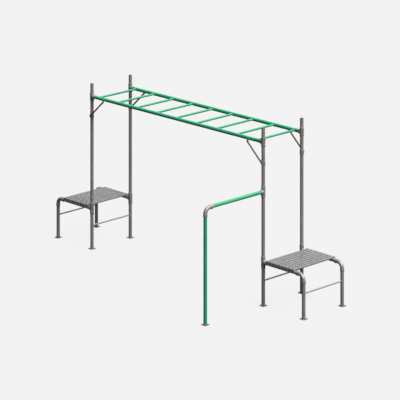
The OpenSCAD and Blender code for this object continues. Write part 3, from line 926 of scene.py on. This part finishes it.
def zinc_fastener():
    """Zinc plate on small turned and forged steel, stained in places."""
    s = Shader("zinc_fastener")
    turned_marks = s.noise(900.0, 2.0, 0.5)
    stain = s.noise(120.0, 4.0, 0.6)
    colour = s.mix(s.span(stain, 0.35, 0.65), grey(0.30), grey(0.46))
    rough = s.span(stain, 0.3, 0.7, 0.3, 0.5)
    relief = s.bump(turned_marks, 0.1, 0.0002)
    return s.principled(Base_Color=colour, Metallic=0.8, Roughness=rough, Normal=relief)


def cap_plastic():
    """Moulded polyethylene with a fine spark-eroded texture, dusty on top."""
    s = Shader("cap_plastic")
    texture = s.noise(1100.0, 2.0, 0.5)
    dust = s.noise(80.0, 4.0, 0.6)
    colour = s.mix(s.span(dust, 0.4, 0.7), grey(0.05), grey(0.10))
    return s.principled(Base_Color=colour, Roughness=0.55, Normal=s.bump(texture, 0.2, 0.0002))


FINISHES = {
    "galvanised": galvanised_tube(),
    "fitting": galvanised_casting(),
    "light_tube": light_tube(),
    "green_coat": green_coat(),
    "slat": slat_metal(),
    "brace": dark_bar(),
    "fastener": zinc_fastener(),
    "cap": cap_plastic(),
}
PLATE_FINISH = galvanised_plate()


# ---------------------------------------------------------------- pieces

def add_piece(name, shape, body, slot, stands_for=None, finish=None):
    """One visible piece: its mesh, its finish, the body that carries it and the CAD node it stands for."""
    made = build(name, shape)
    made.data.materials.append(finish or FINISHES[slot])
    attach(made, body)
    if stands_for:
        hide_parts(stands_for)


def finish_cad_nodes():
    """Each CAD node takes the finish of its material slot."""
    for part in frame["record"]["subparts"]:
        nodes[part["node"]].material_slots[0].material = FINISHES[part["material_slot"]]


def add_fitting(node, casting, body):
    add_piece(node + "_casting", casting, body, "fitting", node)


def add_fittings():
    post = middle("front_left_post")
    ladder_tee_reach = high_corner("front_left_ladder_tee").x - post.x
    step_tee_reach = post.x - low_corner("front_left_step_tee").x
    bar_tee_reach = middle("front_right_post").y - low_corner("turning_bar_tee").y
    step_reach = post.x - middle("front_left_leg").x
    bar_reach = middle("front_right_post").y - middle("turning_pole").y
    ladder_tee = tee_casting(size("front_left_ladder_tee").z, ladder_tee_reach)
    step_tee = tee_casting(size("front_left_step_tee").z, step_tee_reach)
    bar_tee = tee_casting(size("turning_bar_tee").z, bar_tee_reach)
    elbow = elbow_casting()
    clamp = clamp_casting()
    for corner in CORNERS:
        at_rail = at_post(corner, RAIL_HEIGHT, True)
        at_step = at_post(corner, STEP_HEIGHT, False)
        add_fitting(corner + "_ladder_tee", ladder_tee.moved(at_rail), "ladder")
        add_fitting(corner + "_step_tee", step_tee.moved(at_step), "frame")
        at_leg = at_step @ shifted(x=step_reach) @ MIRROR_X
        add_fitting(corner + "_step_elbow", elbow.moved(at_leg), "frame")
        casting = clamp.moved(at_post(corner, CLAMP_HEIGHT, True))
        add_piece(corner + "_brace_clamp_casting", casting, "ladder", "fitting", "brace_clamps")
    add_fitting("turning_bar_tee", bar_tee.moved(at_bar()), "frame")
    add_fitting("turning_bar_elbow", elbow.moved(at_bar(bar_reach) @ MIRROR_X), "frame")


def add_braces():
    bar = brace_bar()
    plate = lug()
    tilt = math.degrees(math.atan2(BRACE_RUN, BRACE_HIGH - BRACE_LOW))
    lean_over = shifted(y=FLAT + BRACE_T / 2.0) @ turned(tilt, "Y")
    face_out = facing((0, 0, 0), (1, 0, 0), (0, 0, 1), (0, 1, 0))
    for corner in CORNERS:
        leaning = bar.moved(at_post(corner, BRACE_LOW, True) @ lean_over)
        hanging = plate.moved(at_lug(corner) @ face_out)
        add_piece(corner + "_brace_bar", leaning, "ladder", "brace", corner + "_brace")
        add_piece(corner + "_brace_lug_plate", hanging, "ladder", "green_coat", "brace_lugs")
    add_piece("brace_bolts_and_nuts", bolts_and_nuts(), "ladder", "fastener", "brace_bolts")


def add_feet_and_caps():
    plate = base_plate()
    weld = foot_weld(TUBE_R)
    feet = {"post": uprights("_post"), "leg": uprights("_leg"), "pole": [pole_foot()]}
    for group, places in feet.items():
        node = "pole_base_plate" if group == "pole" else group + "_base_plates"
        plates = joined([plate.moved(place) for place in places])
        beads = joined([weld.moved(place @ shifted(z=PLATE_T)) for place in places])
        add_piece(group + "_feet", plates, "frame", "galvanised", node, PLATE_FINISH)
        add_piece(group + "_foot_welds", beads, "frame", "galvanised", finish=PLATE_FINISH)
    cap = post_cap()
    caps = joined([cap.moved(place @ shifted(z=POST_TOP)) for place in feet["post"]])
    add_piece("post_cap_mouldings", caps, "frame", "cap", "post_caps")


def add_welds():
    add_piece("rung_welds", rung_welds(), "ladder", "green_coat")
    add_piece("lug_welds", lug_welds(), "ladder", "green_coat")
    add_piece("spreader_welds", spreader_welds(), "frame", "galvanised")


finish_cad_nodes()
add_fittings()
add_braces()
add_feet_and_caps()
add_welds()


# ---------------------------------------------------------------- studio

# The plain backdrop and floor that the camera sees
BACKDROP = 0.880
FLOOR_HALF = 60.0
FLOOR_PALE = 0.8
FLOOR_SHADOWS = 0.03
# The room that lights the object: its strengths at the horizon, overhead and at the bright wall, and how
# pale its floor is to that light
ROOM_LOW = 0.02
ROOM_CEILING = 0.50
ROOM_WALL = 2.00
ROOM_FLOOR = 0.05
WALL_AZIMUTH = math.radians(185.0)
WALL_ELEVATION = math.radians(20.0)
# The camera, which looks at AIM from these angles and this far away, in metres
AIM = Vector((1.619, 0.396, 0.892))
CAMERA_AZIMUTH = math.radians(45.82)
CAMERA_ELEVATION = math.radians(16.1)
CAMERA_DISTANCE = 32.14
CAMERA_LENS = 227.5


def direction(azimuth, elevation):
    """A unit vector from the object towards a place seen at these angles, with azimuth 0 towards -Y."""
    flat = math.cos(elevation)
    return Vector((math.sin(azimuth) * flat, -math.cos(azimuth) * flat, math.sin(elevation)))


def make_camera():
    """A long lens that keeps uprights parallel, as a shifted view camera does.

    The camera's own axes are those of a level camera, but its depth axis points down at the object. That
    lean is in the parent's inverse matrix, so other views of this camera are square again.
    """
    camera = bpy.data.objects.new("camera", bpy.data.cameras.new("camera"))
    holder = bpy.data.objects.new("camera_holder", None)
    for item in (camera, holder):
        bpy.context.scene.collection.objects.link(item)
    camera.data.lens = CAMERA_LENS
    camera.data.sensor_width = 36.0
    camera.data.clip_end = 200.0
    back = direction(CAMERA_AZIMUTH, CAMERA_ELEVATION)
    right = Vector((math.cos(CAMERA_AZIMUTH), math.sin(CAMERA_AZIMUTH), 0.0))
    camera.parent = holder
    camera.matrix_parent_inverse = facing(AIM + back * CAMERA_DISTANCE, right, (0, 0, 1), back)
    bpy.context.scene.camera = camera


def make_floor():
    square = ((-1, -1), (1, -1), (1, 1), (-1, 1))
    corners = [(x * FLOOR_HALF, y * FLOOR_HALF, 0.0) for x, y in square]
    floor = build("floor", Shape(corners, [(0, 1, 2, 3)]))
    floor.data.materials.append(floor_material())


def floor_material():
    """Pale to the camera with faint shadows, and darker to the light that bounces up at the object."""
    s = Shader("floor")
    seen = s.add("ShaderNodeLightPath", "Is Camera Ray")
    lit = s.add("ShaderNodeBsdfDiffuse", 0, {"Color": grey(FLOOR_PALE, 0.0)})
    glow = s.add("ShaderNodeEmission", 0, {"Color": grey(BACKDROP, 0.0)})
    pale = s.add("ShaderNodeMixShader", 0, {0: FLOOR_SHADOWS, 1: glow, 2: lit})
    dim = s.add("ShaderNodeBsdfDiffuse", 0, {"Color": grey(ROOM_FLOOR, 0.0)})
    return s.output(s.add("ShaderNodeMixShader", 0, {0: seen, 1: dim, 2: pale}))


def make_world():
    """The camera sees a plain backdrop. A dim room with a bright ceiling and wall lights the object."""
    s = Shader("room", bpy.data.worlds.new("studio"))
    seen = s.add("ShaderNodeLightPath", "Is Camera Ray")
    backdrop = s.add("ShaderNodeBackground", 0, {"Color": grey(BACKDROP, 0.0)})
    way = s.add("ShaderNodeTexCoord", "Generated")
    up = s.add("ShaderNodeSeparateXYZ", 2, {"Vector": way})
    wall = direction(WALL_AZIMUTH, WALL_ELEVATION)
    to_wall = s.add("ShaderNodeVectorMath", "Value", {0: way, 1: wall}, operation="DOT_PRODUCT")
    ceiling = s.span(up, 0.0, 1.0, ROOM_LOW, ROOM_CEILING)
    glow = s.math("MULTIPLY", s.span(to_wall, 0.2, 1.0), s.span(up, -0.05, 0.15, 0.0, ROOM_WALL))
    room = s.add("ShaderNodeBackground", 0, {"Strength": s.math("ADD", ceiling, glow)})
    s.output(s.add("ShaderNodeMixShader", 0, {0: seen, 1: room, 2: backdrop}))
    bpy.context.scene.world = s.owner


def add_key(azimuth, elevation, strength, softness):
    """A large soft light, far off at this azimuth and elevation. Angles are in degrees."""
    light = bpy.data.lights.new("key", "SUN")
    light.energy = strength
    light.angle = math.radians(softness)
    key = bpy.data.objects.new("key", light)
    bpy.context.scene.collection.objects.link(key)
    away = direction(math.radians(azimuth), math.radians(elevation))
    key.rotation_euler = away.to_track_quat("Z", "Y").to_euler()


make_camera()
make_floor()
make_world()
add_key(azimuth=86.0, elevation=57.0, strength=3.8, softness=24.0)
bpy.context.scene.view_settings.view_transform = "Standard"
